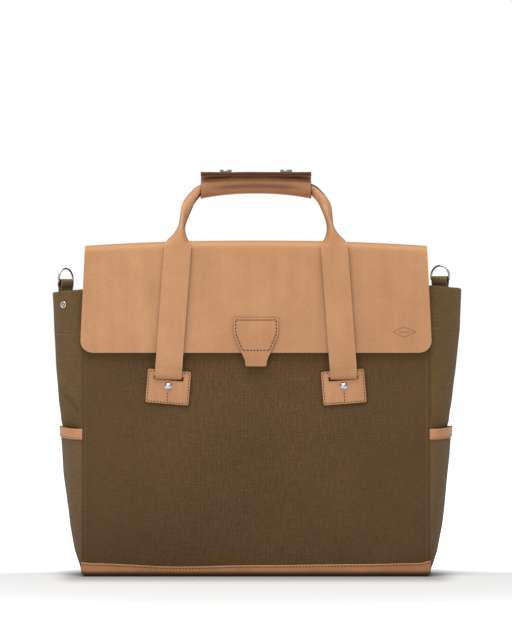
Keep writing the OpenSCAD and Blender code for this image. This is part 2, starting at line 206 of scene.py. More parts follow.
def finishPiece(piece, body, slotName, *nodes):
    if body:
        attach(piece, body)
    if nodes:
        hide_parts(*nodes)
    return piece


# ---- materials: a source is a (node, output) pair

def startMaterial(name, roughness, specular):
    material = bpy.data.materials.new(name)
    material.use_nodes = True
    tree = material.node_tree
    shader = tree.nodes["Principled BSDF"]
    shader.inputs["Roughness"].default_value = roughness
    shader.inputs["Specular IOR Level"].default_value = specular
    places = tree.nodes.new("ShaderNodeTexCoord")
    return material, tree, shader, (places, "Object"), (places, "UV")


def feed(shader, socket, source):
    shader.id_data.links.new(source[0].outputs[source[1]], shader.inputs[socket])


def node(tree, kind, output, inputs, **settings):
    # each input is a source or a plain value
    made = tree.nodes.new(kind)
    for key, value in settings.items():
        setattr(made, key, value)
    for socket, value in inputs.items():
        if isinstance(value, tuple) and isinstance(value[0], bpy.types.Node):
            feed(made, socket, value)
        else:
            made.inputs[socket].default_value = value
    return made, output


def noiseOf(tree, where, scale, detail=2.0, roughness=0.5):
    return node(tree, "ShaderNodeTexNoise", "Fac",
                {"Vector": where, "Scale": scale, "Detail": detail, "Roughness": roughness})


def stretched(tree, where, scale):
    return node(tree, "ShaderNodeMapping", "Vector", {"Vector": where, "Scale": scale})


def maths(tree, operation, first, second=0.5):
    return node(tree, "ShaderNodeMath", "Value", {0: first, 1: second}, operation=operation)


def axisOf(tree, where, axis):
    return node(tree, "ShaderNodeSeparateXYZ", axis, {"Vector": where})


def mapRange(tree, source, start, end, low=0.0, high=1.0, shape="SMOOTHSTEP"):
    return node(tree, "ShaderNodeMapRange", "Result", interpolation_type=shape, inputs={
        "Value": source, "From Min": start, "From Max": end, "To Min": low, "To Max": high})


def blendColours(tree, share, first, second, mode="MIX"):
    # share is a source or a number, first and second a source or a colour
    colours = {socket: colour if isinstance(colour[0], bpy.types.Node) else (*colour, 1)
               for socket, colour in ((6, first), (7, second))}
    return node(tree, "ShaderNodeMix", 2, {"Factor": share, **colours}, data_type="RGBA", blend_type=mode)


def multiply(tree, first, second):
    return blendColours(tree, 1.0, first, second, "MULTIPLY")


def ramp(tree, source, *stops):
    made, output = node(tree, "ShaderNodeValToRGB", "Color", {"Fac": source})
    elements = made.color_ramp.elements
    while len(elements) < len(stops):
        elements.new(0.5)
    for element, (place, level) in zip(elements, stops):
        element.position = place
        element.color = (level, level, level, 1)
    return made, output


def bumpFrom(tree, shader, height, strength, distance, below=None):
    inputs = {"Height": height, "Strength": strength, "Distance": distance}
    if below:
        inputs["Normal"] = below
    bump = node(tree, "ShaderNodeBump", "Normal", inputs)
    feed(shader, "Normal", bump)
    return bump


canvasLook = {
    "threadWidth": 0.85 * mm,
    "roughness": 0.92,
    "sheen": 0.05,
}


def makeCanvas(name, light, dark):
    material, tree, shader, spot, cloth = startMaterial(name, canvasLook["roughness"], 0.12)
    shader.inputs["Sheen Weight"].default_value = canvasLook["sheen"]
    shader.inputs["Sheen Roughness"].default_value = 0.6
    weaveScale = 2 * math.pi / (20 * canvasLook["threadWidth"])
    warp, weft = (node(tree, "ShaderNodeTexWave", "Fac", bands_direction=direction, inputs={
        "Vector": cloth, "Scale": weaveScale, "Distortion": 0.6, "Detail": 1.0}) for direction in "XY")
    crossing = maths(tree, "MULTIPLY", warp, weft)
    slub = noiseOf(tree, cloth, 620.0, 3.0)
    cloud = noiseOf(tree, spot, 9.0, 4.0)
    streaks = [noiseOf(tree, stretched(tree, cloth, scale), 1.0)
               for scale in ((60.0, 1100.0, 1.0), (1100.0, 60.0, 1.0))]
    uneven = maths(tree, "MULTIPLY", *streaks)
    colour = blendColours(tree, crossing, dark, light)
    for shade in (ramp(tree, slub, (0.25, 0.72), (0.75, 1.25)),
                  ramp(tree, uneven, (0.13, 0.84), (0.25, 1.0), (0.40, 1.2)),
                  ramp(tree, cloud, (0.3, 0.88), (0.7, 1.08))):
        colour = multiply(tree, colour, shade)
    feed(shader, "Base Color", colour)
    weave = bumpFrom(tree, shader, crossing, 0.55, 0.25 * mm)
    bumpFrom(tree, shader, slub, 0.5, 0.2 * mm, weave)
    return material


leatherLook = {
    "light": (0.462, 0.231, 0.109),
    "dark": (0.378, 0.176, 0.077),
    "roughness": 0.52,
}


def makeLeather(name, light, dark, roughness, grain=0.35, glow=None, paintedCreaseShade=None):
    material, tree, shader, spot, cloth = startMaterial(name, roughness, 0.35)
    cloud = noiseOf(tree, spot, 11.0, 6.0, 0.62)
    pores = node(tree, "ShaderNodeTexVoronoi", "Distance", {"Vector": spot, "Scale": 1300.0})
    fine = noiseOf(tree, spot, 420.0, 5.0)
    streak = noiseOf(tree, stretched(tree, spot, (70.0, 70.0, 6.0)), 1.0, 3.0)
    colour = blendColours(tree, ramp(tree, cloud, (0.32, 0.0), (0.68, 1.0)), dark, light)
    for shade in (streak, fine):
        colour = multiply(tree, colour, ramp(tree, shade, (0.3, 0.93), (0.7, 1.05)))
    if glow:    # painted light by height: a painted highlight over the flap's top bend, painted shade at the floor on the base trim
        height = axisOf(tree, spot, "Z")
        rise = mapRange(tree, height, glow["from"], glow["to"], 0.0, glow["amount"], "LINEAR")
        colour = blendColours(tree, rise, colour, glow["colour"])
    if paintedCreaseShade:    # painted shade in the crease along the grip's front, strongest at the middle of its length
        offBand = maths(tree, "ABSOLUTE", maths(tree, "SUBTRACT", axisOf(tree, cloth, "Y"), paintedCreaseShade["at"]))
        offMiddle = maths(tree, "ABSOLUTE", axisOf(tree, spot, "X"))
        band = mapRange(tree, offBand, 0.0, paintedCreaseShade["spread"], 0.75, 0.0)
        ends = mapRange(tree, offMiddle, paintedCreaseShade["length"] * 0.5, paintedCreaseShade["length"] * 1.15, 1.0, 0.15)
        colour = blendColours(tree, maths(tree, "MULTIPLY", band, ends), colour, paintedCreaseShade["colour"])
    feed(shader, "Base Color", colour)
    feed(shader, "Roughness", ramp(tree, fine, (0.3, roughness - 0.07), (0.7, roughness + 0.08)))
    creases = bumpFrom(tree, shader, fine, grain, 0.25 * mm)
    bumpFrom(tree, shader, pores, grain * 0.5, 0.12 * mm, creases)
    return material


def makeSteel(name, colour, roughness):
    material, tree, shader, spot, cloth = startMaterial(name, roughness, 0.5)
    shader.inputs["Metallic"].default_value = 1.0
    scuffs = noiseOf(tree, spot, 900.0, 4.0)
    haze = noiseOf(tree, spot, 160.0, 3.0)
    feed(shader, "Base Color", multiply(tree, colour, ramp(tree, haze, (0.3, 0.86), (0.7, 1.04))))
    feed(shader, "Roughness", ramp(tree, scuffs, (0.3, roughness - 0.08), (0.7, roughness + 0.1)))
    bumpFrom(tree, shader, scuffs, 0.08, 0.05 * mm)
    return material


def makeThread(name, colour):
    material, tree, shader, spot, cloth = startMaterial(name, 0.6, 0.3)
    twist = node(tree, "ShaderNodeTexWave", "Fac", {"Vector": spot, "Scale": 520.0, "Distortion": 0.4},
                 bands_direction="DIAGONAL")
    feed(shader, "Base Color", multiply(tree, colour, ramp(tree, twist, (0.2, 0.7), (0.8, 1.15))))
    bumpFrom(tree, shader, twist, 0.5, 0.15 * mm)
    return material


def makeBoard(name, colour):
    material, tree, shader, spot, cloth = startMaterial(name, 0.85, 0.2)
    fibre = noiseOf(tree, spot, 500.0, 6.0)
    feed(shader, "Base Color", multiply(tree, colour, ramp(tree, fibre, (0.3, 0.8), (0.7, 1.2))))
    bumpFrom(tree, shader, fibre, 0.4, 0.2 * mm)
    return material


canvas = makeCanvas("canvas", (0.140, 0.079, 0.0325), (0.079, 0.042, 0.0158))
sideCanvas = makeCanvas("sideCanvas", (0.164, 0.100, 0.039), (0.093, 0.053, 0.019))
pocketCanvas = makeCanvas("pocketCanvas", (0.185, 0.118, 0.056), (0.108, 0.065, 0.028))
# painted light: a paler copy of the canvas, so that the shaded ring loops look lit
paintedLightLoopCanvas = makeCanvas("paintedLightLoopCanvas", (0.300, 0.200, 0.100), (0.190, 0.120, 0.055))
leather = makeLeather("leather", **leatherLook)
# the flap's leather, with a painted highlight over its top bend
flapLeather = makeLeather("flapLeather", **leatherLook, glow={
    "from": 0.366, "to": 0.382, "amount": 0.75, "colour": (0.42, 0.205, 0.080)})
# the grip's leather, with painted shade along the crease of its front
gripLeather = makeLeather("gripLeather", (0.36, 0.165, 0.070), (0.29, 0.125, 0.052), 0.45, paintedCreaseShade={
    "at": 0.030, "spread": 0.0095, "length": 0.052, "colour": (0.105, 0.038, 0.015)})
rawEdge = makeLeather("rawEdge", (0.53, 0.30, 0.17), (0.42, 0.22, 0.12), 0.7)
# burnished edge colour, darkened further as painted shade along the edges between layers
burnishedAndShadedEdge = makeLeather("burnishedAndShadedEdge", (0.100, 0.032, 0.010), (0.070, 0.021, 0.006), 0.75)
fleshSide = makeLeather("fleshSide", (0.42, 0.26, 0.16), (0.33, 0.20, 0.115), 0.85, grain=0.8)
# the base trim's leather, with painted shade along its bottom against the floor
trimLeather = makeLeather("trimLeather", (0.440, 0.195, 0.075), (0.345, 0.147, 0.053), 0.5, glow={
    "from": 0.0075, "to": 0.0035, "amount": 0.93, "colour": (0.036, 0.012, 0.006)})
pressedLeather = makeLeather("pressedLeather", (0.25, 0.105, 0.048), (0.20, 0.082, 0.036), 0.5)
brightSteel = makeSteel("brightSteel", (0.52, 0.51, 0.49), 0.26)
darkSteel = makeSteel("darkSteel", (0.12, 0.11, 0.10), 0.4)
ringSteel = makeSteel("ringSteel", (0.60, 0.59, 0.57), 0.30)
brownThread = makeThread("brownThread", (0.075, 0.027, 0.011))
khakiThread = makeThread("khakiThread", (0.185, 0.122, 0.060))
fibreBoard = makeBoard("fibreBoard", (0.05, 0.045, 0.04))
cottonCord = makeThread("cottonCord", (0.30, 0.22, 0.14))
strapLeathers = [leather, burnishedAndShadedEdge, fleshSide]
print("materials made")


# ---- stitching

stitchShape = {"length": 2.4 * mm, "width": 1.15 * mm, "height": 0.55 * mm}
fineStitch = {"length": 2.3 * mm, "width": 0.7 * mm, "height": 0.35 * mm}
boldStitch = {"length": 2.5 * mm, "width": 1.45 * mm, "height": 0.6 * mm}


def makeStitch():
    deselectAll()
    bpy.ops.mesh.primitive_uv_sphere_add(segments=8, ring_count=5, radius=0.5)
    stitch = nameIt(bpy.context.object, "stitchModel")
    stitch.rotation_euler = (0, math.pi / 2, 0)
    bpy.ops.object.transform_apply(location=False, rotation=True, scale=False)
    return stitch


stitchModel = makeStitch()


def along(points, pitch):
    # middle points and directions of stitches, evenly set along a line of points
    lengths = [(b - a).length for a, b in zip(points, points[1:])]
    total = sum(lengths)
    count = max(1, round(total / pitch))
    step = total / count
    found = []
    index, passed = 0, 0.0
    for k in range(count):
        target = (k + 0.5) * step
        while index < len(lengths) - 1 and passed + lengths[index] < target:
            passed += lengths[index]
            index += 1
        share = (target - passed) / lengths[index]
        a, b = points[index], points[index + 1]
        found.append((a.lerp(b, share), (b - a).normalized()))
    return found


def sew(name, lines, out, thread, body, slotName, pitch=3.7 * mm, shape=stitchShape, lift=0.1 * mm):
    # a row of stitches along each line; out gives the way off the surface at a point
    copies = []
    for points in lines:
        for middle, run in along(points, pitch):
            up = out(middle) if callable(out) else Vector(out)
            side = up.cross(run).normalized()
            up = run.cross(side).normalized()
            copy = stitchModel.copy()
            copy.data = stitchModel.data.copy()
            bpy.context.collection.objects.link(copy)
            turn = Matrix((run, side, up)).transposed().to_4x4()
            size = Matrix.Diagonal((shape["length"], shape["width"], shape["height"], 1))
            copy.data.transform(Matrix.Translation(middle + up * lift) @ turn @ size)
            copies.append(copy)
    row = joinPieces(copies, name)
    row.data.materials.append(thread)
    bpy.ops.object.shade_smooth()
    return finishPiece(row, body, slotName)


# ---- the shape of the body

bagShape = {
    # how far the sides stand out at each height
    "reach": [(0.003, 1.5 * mm), (0.013, 7.0 * mm), (0.028, 12.4 * mm), (0.056, 17.5 * mm),
              (0.087, 21.7 * mm), (0.115, 24.4 * mm), (0.139, 26.2 * mm), (0.160, 27.4 * mm),
              (0.202, 30.2 * mm), (0.260, 34.6 * mm), (0.282, 36.2 * mm), (0.328, 37.4 * mm)],
    "reachPower": 2.3,
    "frontBulge": 4.5 * mm,
    "bulgeTop": 0.215,
    "wrinkle": 0.55 * mm,
    "canvas": 1.2 * mm,
    "foldRadius": 1.3 * mm,
    "hemDepth": 44 * mm,
    "topTaper": 9 * mm,
    "seam": 3.9 * mm,
}


def sideReach(z):
    return between(bagShape["reach"], z)


def halfDepth(z):
    t = clamp(z / gussetTop)
    frameReach = reachTop * (1 - (1 - t) ** bagShape["reachPower"])
    return math.sqrt(halfBase ** 2 - 4 / 3 * frameReach ** 2)


def panelBulge(x, z):
    t = clamp(z / bagShape["bulgeTop"])
    crown = max(0.0, math.cos(math.pi / 2 * clamp(abs(x) / halfWidth))) ** 0.7
    return bagShape["frontBulge"] * crown * math.sin(math.pi * t) ** 1.3


def panelFace(x, z):    # how far in front of the middle the panel's face lies
    edge = halfWidth - abs(x)
    welt = 0.5 * mm * (1 - smooth((edge - 3 * mm) / (3 * mm)))
    groove = 0.35 * mm * hill(edge, bagShape["seam"], 0.7 * mm)
    fade = smooth(edge / (25 * mm))
    soft = bagShape["wrinkle"] * fade * ripple(x, z, 3.1, 0.06)
    sag = 0.5 * mm * fade * ripple(x, z * 0.5, 7.7, 0.02)
    return halfDepth(z) + panelBulge(x, z) + welt - groove + soft + sag


def hemPath(s, top):
    # height and inward step of cloth that turns in over its top edge
    fold = bagShape["foldRadius"]
    if s < top:
        return s, 0.0
    turn = (s - top) / fold
    if turn < math.pi:
        return top + fold * math.sin(turn), fold * (1 - math.cos(turn))
    return top - (s - top - fold * math.pi), 2 * fold


def makePanel(name, facing, *nodes):
    # facing is -1 for the front and 1 for the back
    fold, base = bagShape["foldRadius"], panelLow[2]
    top = panelTop - base - fold
    total = top + fold * math.pi + bagShape["hemDepth"]

    def place(u, v):
        height, inward = hemPath(v * total, top)
        z = base + height
        x = spread(u, 0.86) * (halfWidth - bagShape["topTaper"] * smooth((z - 0.322) / 0.02))
        return Vector((-facing * x, facing * (panelFace(x, z) - inward), z))

    piece = thickSheet(name, (116, 120), place, (2 * halfWidth, total), [canvas],
                       bagShape["canvas"], 0.4 * mm)
    return finishPiece(piece, "bag", "canvas", *nodes)


gussetShape = {
    "recess": [(0, 6 * mm), (0.162, 6 * mm), (0.180, 3.0 * mm), (0.205, 1.2 * mm),
               (0.26, 0.5 * mm), (0.328, 0)],
    "seamInset": 0.9 * mm,
    "hemDepth": 48 * mm,
    "leftTop": 0.3300,
    "rightTop": 0.3345,
    "cornerDrop": 3 * mm,
}


def gussetPlace(side, angle, z, inward=0.0):
    # a point on a gusset: angle -90 is the front seam, 90 the back seam
    out = max(1.5 * mm, sideReach(z) - between(gussetShape["recess"], z, smooth))
    a = math.radians(angle)
    fade = math.cos(a) ** 0.6 if abs(angle) < 89.9 else 0.0
    shift = 1.3 * mm * fade * math.sin(3.1 * a + 1.3 * side + z * 21) * smooth(z / 0.1)
    shift += 0.9 * mm * fade * ripple(a * 0.05, z, 11.0 * side, 0.05)
    nearSeam = smooth((87 - abs(angle)) / 12) * smooth((abs(angle) - 12) / 30)
    shift -= 4.5 * mm * nearSeam * smooth((0.190 - z) / 0.026)    # falls away behind the pocket's mouth
    if side < 0 and angle < 0:    # a crease that runs down to the pocket's corner
        line = 0.173 + 0.038 * clamp((angle + 88) / 46) ** 0.55
        shift -= 2.8 * mm * nearSeam * hill(z, line, 5 * mm)
        shift += 2.4 * mm * nearSeam * hill(z, line + 10 * mm, 6.5 * mm)
    shift -= inward
    depth = halfDepth(z) - gussetShape["seamInset"]
    reach = out * math.cos(a) + shift * math.cos(a)
    return Vector((side * (halfWidth + reach), (depth + shift) * math.sin(a), z))


def makeGusset(name, side, nodeName):
    fold, depth, base = bagShape["foldRadius"], gussetShape["hemDepth"], gussetLow[2]
    seamTop = gussetShape["rightTop"] if side > 0 else gussetShape["leftTop"]

    def place(u, v):
        angle = side * (-90 + 180 * edgeDense(u, 0.3))
        top = seamTop - gussetShape["cornerDrop"] * math.cos(math.radians(angle)) - base - fold
        height, inward = hemPath(v * (top + fold * math.pi + depth), top)
        return gussetPlace(side, angle, base + height, inward)

    piece = thickSheet(name, (48, 130), place, (110 * mm, seamTop + depth), [sideCanvas],
                       bagShape["canvas"], 0.4 * mm)
    return finishPiece(piece, "bag", "canvas", nodeName)


makePanel("frontPanel", -1, "front_panel", "front_facing")
makePanel("backPanel", 1, "back_panel", "back_facing")
makeGusset("rightGusset", 1, "right_gusset")
makeGusset("leftGusset", -1, "left_gusset")
print("body made")


# ---- side pockets

pocketShape = {
    "top": 0.1675,
    "canvas": 1.1 * mm,
    "bandHeight": 10.8 * mm,
    "bandInside": 7 * mm,
    "bandThickness": 1.3 * mm,
    "bandProud": 1.2 * mm,
}


def pocketPlace(side, angle, z, outward=0.0):
    a = math.radians(angle)
    out = max(2.0 * mm, sideReach(z) - 1.7 * mm)
    fade = math.cos(a) ** 0.6 if abs(angle) < 89.9 else 0.0
    slump = 1.3 * mm * fade * ripple(a * 0.06, z, 5.0 + 4.0 * side, 0.045) * smooth((0.165 - z) / 0.03)
    pull = 1.2 * mm * fade * math.cos(4 * a) * smooth((z - 0.08) / 0.09)
    out += slump + pull + outward
    depth = halfDepth(z) - 0.2 * mm + outward
    dip = (2.6 * (1 - abs(math.sin(a))) - 1.5) * mm * smooth((z - 0.1) / 0.07)    # higher away from the seams
    return Vector((side * (halfWidth + out * math.cos(a)), depth * math.sin(a), z + dip))


def makePocket(name, side, nodeName):
    low, high = pocketLow[2] - 1.5 * mm, pocketShape["top"]

    def place(u, v):
        return pocketPlace(side, side * (-90 + 180 * u), low + (high - low) * v)

    piece = thickSheet(name, (44, 60), place, (112 * mm, high - low), [pocketCanvas], pocketShape["canvas"])
    return finishPiece(piece, "bag", "pocket_canvas", nodeName)


def makeBand(name, side, nodeName):
    # leather folded over the mouth, longer outside than inside
    outside, inside = pocketShape["bandHeight"], pocketShape["bandInside"]
    radius = 1.5 * mm
    total = outside + math.pi * radius + inside
    lower = pocketShape["top"] - outside + radius

    def place(u, v):
        s = v * total
        if s < outside:
            z, out = lower + s, pocketShape["bandProud"]
        elif s < outside + math.pi * radius:
            turn = (s - outside) / radius
            z = lower + outside + radius * math.sin(turn)
            out = pocketShape["bandProud"] - radius * (1 - math.cos(turn))
        else:
            z = lower + outside - (s - outside - math.pi * radius)
            out = pocketShape["bandProud"] - 2 * radius
        flat = pocketPlace(side, side * (-90 + 180 * edgeDense(u, 0.2)), min(z, pocketShape["top"]), out)
        flat.z += max(0.0, z - pocketShape["top"])
        return flat

    piece = thickSheet(name, (60, 26), place, (115 * mm, total), [leather, rawEdge],
                       pocketShape["bandThickness"], 0.35 * mm)
    return finishPiece(piece, "bag", "leather", nodeName)


def sewRound(name, side, line, depth, *finish, **look):
    # stitches round one end of the bag; depth is half the bag's depth there
    def out(point):
        a = math.asin(clamp(point.y / depth, -1, 1))
        return Vector((side * math.cos(a), math.sin(a), 0))

    sew(name, [line], out, *finish, **look)


def bandStitches(name, side):
    z = pocketShape["top"] - pocketShape["bandHeight"] + 3.2 * mm
    line = [pocketPlace(side, a, z, pocketShape["bandProud"] + 0.1 * mm) for a in range(-86, 87, 4)]
    sewRound(name, side, line, halfDepth(z) + 1 * mm, brownThread, "bag", "leather", shape=fineStitch)


for side, label in sides:
    makePocket(label + "Pocket", side, label + "_pocket")
    makeBand(label + "PocketBand", side, label + "_pocket_band")
    bandStitches(label + "BandStitches", side)
print("side pockets made")


# ---- leather round the base

trimShape = {
    "height": [(-0.203, 16.5 * mm), (-0.186, 15.2 * mm), (-0.09, 11.5 * mm), (0, 13 * mm),
               (0.12, 14.2 * mm), (0.186, 15.5 * mm), (0.203, 18.5 * mm)],
    "thickness": 2.6 * mm,
    "corner": 5.5 * mm,
    "halfLength": 0.2004,
    "endRound": 4 * mm,
}


def trimTop(x):
    return between(trimShape["height"], x, smooth)


def trimPlace(x, share):
    # share 0 is the front's top edge, 1 the back's
    radius, face = trimShape["corner"], trimHigh[1]
    top = trimTop(x)
    up = top - radius
    turn = radius * math.pi / 2
    bottom = 2 * (face - radius)
    total = 2 * up + 2 * turn + bottom
    s = share * total
    mirrored = s > total / 2
    if mirrored:
        s = total - s
    lean = 0.5 * mm * ripple(x, 0.3, 2.0, 0.05)
    if s < up:
        y, z = -face + lean * (1 - s / up), top - s
    elif s < up + turn:
        a = (s - up) / radius
        y, z = -face + radius * (1 - math.cos(a)), radius * (1 - math.sin(a))
    else:
        y, z = -face + radius + (s - up - turn), 0.0
    tuck = trimShape["endRound"] * max(0.0, 1 - z / (9 * mm)) ** 1.6    # the lower corners are rounded off
    x *= 1 - tuck / trimShape["halfLength"]
    return Vector((x, -y if mirrored else y, z))


def makeTrim():
    def place(u, v):
        x = spread(u, 0.5) * trimShape["halfLength"]
        t = 0.5 + 0.5 * math.copysign(abs(2 * v - 1) ** 0.45, 2 * v - 1)
        return trimPlace(-x, t)

    piece = thickSheet("baseTrim", (150, 64), place, (2 * halfWidth, 150 * mm), [trimLeather, rawEdge],
                       trimShape["thickness"], 0.5 * mm)
    return finishPiece(piece, "bag", "dark_leather", "base_leather")


makeTrim()
for facing, label in facings:
    seam = [Vector((k * 4 * mm, facing * (trimHigh[1] + 0.05 * mm), trimTop(k * 4 * mm) - 2.0 * mm))
            for k in range(-50, 51)]
    sew(label + "TrimStitches", [seam], (0, facing, 0), brownThread, "bag", "dark_leather")
print("base trim made")


# ---- flap

flapShape = {
    "thickness": 2.7 * mm,
    "halfTop": flapHigh[0] - 5 * mm,
    "halfBottom": flapHigh[0] + 0.8 * mm,
    "crown": 6.2 * mm,
    "frontBend": 9 * mm,
    "backBend": 7 * mm,
    "corner": 15 * mm,
    "anchorDepth": 40 * mm,
}


def flapTopAt(x):
    return flapHigh[2] - flapShape["crown"] * abs(x / flapShape["halfTop"]) ** 2.3


def flapPath(x):
    # lengths of the back strip, back bend, top, front bend and drop at x
    top = flapTopAt(x)
    backY, frontY = flapHigh[1], flapLow[1]
    back = top - flapShape["backBend"] - (anchorHigh[2] - flapShape["anchorDepth"])
    across = backY - frontY - flapShape["backBend"] - flapShape["frontBend"]
    drop = top - flapShape["frontBend"] - flapLow[2]
    quarter = math.pi / 2
    return back, quarter * flapShape["backBend"], across, quarter * flapShape["frontBend"], drop


def flapPlace(x, s):
    # s runs from the strip sewn to the back, over the top and down the front
    back, bendBack, across, bendFront, drop = flapPath(x)
    top = flapTopAt(x)
    backY, frontY = flapHigh[1], flapLow[1]
    r1, r2 = flapShape["backBend"], flapShape["frontBend"]
    if s < back:
        return Vector((x, backY, top - r1 - (back - s)))
    s -= back
    if s < bendBack:
        a = s / r1
        return Vector((x, backY - r1 * (1 - math.cos(a)), top - r1 + r1 * math.sin(a)))
    s -= bendBack
    if s < across:
        t = s / across
        dish = 0.9 * mm * math.sin(math.pi * t) * math.cos(math.pi * x / 0.44)
        bump = 0.4 * mm * ripple(x, s, 4.4, 0.05) * math.sin(math.pi * t)
        return Vector((x, backY - r1 - s, top - dish + bump))
    s -= across
    if s < bendFront:
        a = s / r2
        return Vector((x, frontY + r2 - r2 * math.sin(a), top - r2 + r2 * math.cos(a)))
    s -= bendFront
    t = clamp(s / drop)
    wave = 0.45 * mm * ripple(x, s, 9.2, 0.07) * smooth(t / 0.2)
    curl = 0.9 * mm * smooth((abs(x) - 0.15) / 0.05) * t
    return Vector((x, frontY + wave + curl, top - r2 - s))


def makeFlap():
    def place(u, v):
        side, t = spread(u, 0.55), edgeDense(v, 0.45)
        total = sum(flapPath(side * flapShape["halfTop"]))
        remaining = total - t * total
        dropShare = clamp(1 - remaining / 0.12)
        half = flapShape["halfTop"] + (flapShape["halfBottom"] - flapShape["halfTop"]) * dropShare
        x = -side * (half - cornerCut(remaining, flapShape["corner"]))
        return flapPlace(x, t * sum(flapPath(x)))

    piece = thickSheet("flapLeather", (120, 150), place, (2 * halfWidth, 285 * mm),
                       [flapLeather, rawEdge, fleshSide], flapShape["thickness"], 0.6 * mm)
    return finishPiece(piece, None, "leather", "flap", "flap_anchor")


flap = makeFlap()
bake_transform(flap)

anchorLines = []
for rise in (4 * mm, 9 * mm):
    z = anchorHigh[2] - flapShape["anchorDepth"] + rise
    anchorLines.append([Vector((k * 4 * mm, flapHigh[1] + 0.05 * mm, z)) for k in range(-48, 49)])
sew("anchorStitches", anchorLines, (0, 1, 0), brownThread, "bag", "leather")
print("flap made")


markShape = {"x": 0.1705, "z": 0.2805, "half": (13 * mm, 6 * mm)}
markLine = {"length": 1.5 * mm, "width": 0.8 * mm, "height": 0.22 * mm}


def straight(start, end, steps):    # evenly set pairs from one to the other
    return [tuple(a + (b - a) * k / steps for a, b in zip(start, end)) for k in range(steps + 1)]


def flapSurface(x, z):    # the front of the drop at a place
    back, bendBack, across, bendFront, drop = flapPath(x)
    s = flapTopAt(x) - flapShape["frontBend"] - z
    return flapPlace(x, back + bendBack + across + bendFront + s).y


def pressMark():
    # a plain lozenge with a bar in it
    x, z = markShape["x"], markShape["z"]
    wide, tall = markShape["half"]
    corners = [(x - wide, z), (x, z + tall), (x + wide, z), (x, z - tall), (x - wide, z)]
    runs = [straight(a, b, 4) for a, b in zip(corners, corners[1:])]
    runs.append([(x - wide / 2, z), (x + wide / 2, z)])
    lines = [[Vector((px, flapSurface(px, pz), pz)) for px, pz in run] for run in runs]
    sew("flapMark", lines, (0, -1, 0), pressedLeather, "flap", "leather",
        pitch=1.15 * mm, shape=markLine, lift=0)


pressMark()


# ---- closure tab

tabShape = {
    "thickness": 2.0 * mm,
    "shoulder": tabHigh[2] - 19 * mm,
    "waist": tabLow[2] + 6 * mm,
    "halfEnd": 12.5 * mm,
    "corner": 2.5 * mm,
    "embossRadius": 10 * mm,
    "emboss": 0.55 * mm,
}


def tabHalf(z):
    half = between([(tabShape["waist"], tabShape["halfEnd"]), (tabShape["shoulder"], tabHigh[0])], z)
    for edge in (z - tabLow[2], tabHigh[2] - z):
        half -= cornerCut(edge, tabShape["corner"])
    return half


def tabFace(x, z):
    ring, radius = math.hypot(x, z - 0.281), tabShape["embossRadius"]
    lump = tabShape["emboss"] * (1 - smooth((ring - radius * 0.6) / (radius * 0.5)))
    hang = 1.6 * mm * smooth((0.258 - z) / 0.018)
    return -flapLow[1] + tabShape["thickness"] + lump - hang


def makeTab():
    def place(u, v):
        z = tabLow[2] + (tabHigh[2] - tabLow[2]) * edgeDense(v, 0.7)
        x = spread(u, 0.4) * tabHalf(z)
        return Vector((x, -tabFace(x, z), z))

    piece = thickSheet("closureTab", (40, 56), place, (52 * mm, 56 * mm), strapLeathers,
                       tabShape["thickness"], 0.75 * mm)
    return finishPiece(piece, "flap", "leather", "closure_tab")


def tabStitches():
    inset = 2.6 * mm
    low, high = 0.2595, tabHigh[2] - inset
    wide, narrow = tabHigh[0] - inset, tabHalf(low) - inset
    runs = [straight((wide, high), (-wide, high), 30), straight((narrow, low), (-narrow, low), 20)]
    for sign in (-1, 1):
        bend = (sign * wide, tabShape["shoulder"] + 1 * mm)
        runs += [straight((sign * wide, high), bend, 20), straight(bend, (sign * narrow, low), 20)]
    lines = [[Vector((x, -tabFace(x, z) - 0.05 * mm, z)) for x, z in run] for run in runs]
    sew("tabStitches", lines, (0, -1, 0), brownThread, "flap", "leather", shape=boldStitch)


makeTab()
tabStitches()
print("closure tab made")


# ---- patches, with the slots that the straps come out of

patchShape = {
    "size": (51 * mm, 3 * mm, 40 * mm),
    "corner": 3 * mm,
    "edge": 0.75 * mm,
    "slot": (33 * mm, 3.6 * mm),
    "slotRise": 10.1 * mm,
    "stitchInset": 2.3 * mm,
    "x": 0.101,
    "z": 0.217,
    "lean": 4.6,
}


patchTilt = math.atan((42.51 - 39.08) / 55)    # the panel's lean between 0.19 and 0.245 m
patchY = 42.51 * mm - (patchShape["z"] - 0.19) / 0.055 * 3.43 * mm


def patchTurn(side, facing):
    # from the patch's own place (+Z up it, -Y off the bag) to the bag's
    move = Matrix.Translation((-patchShape["x"], -patchY, patchShape["z"]))
    lean = Matrix.Rotation(math.radians(patchShape["lean"]), 4, "Y")
    turn = move @ Matrix.Rotation(-patchTilt, 4, "X") @ lean
    return Matrix.Diagonal((-side, -facing, 1, 1)) @ turn


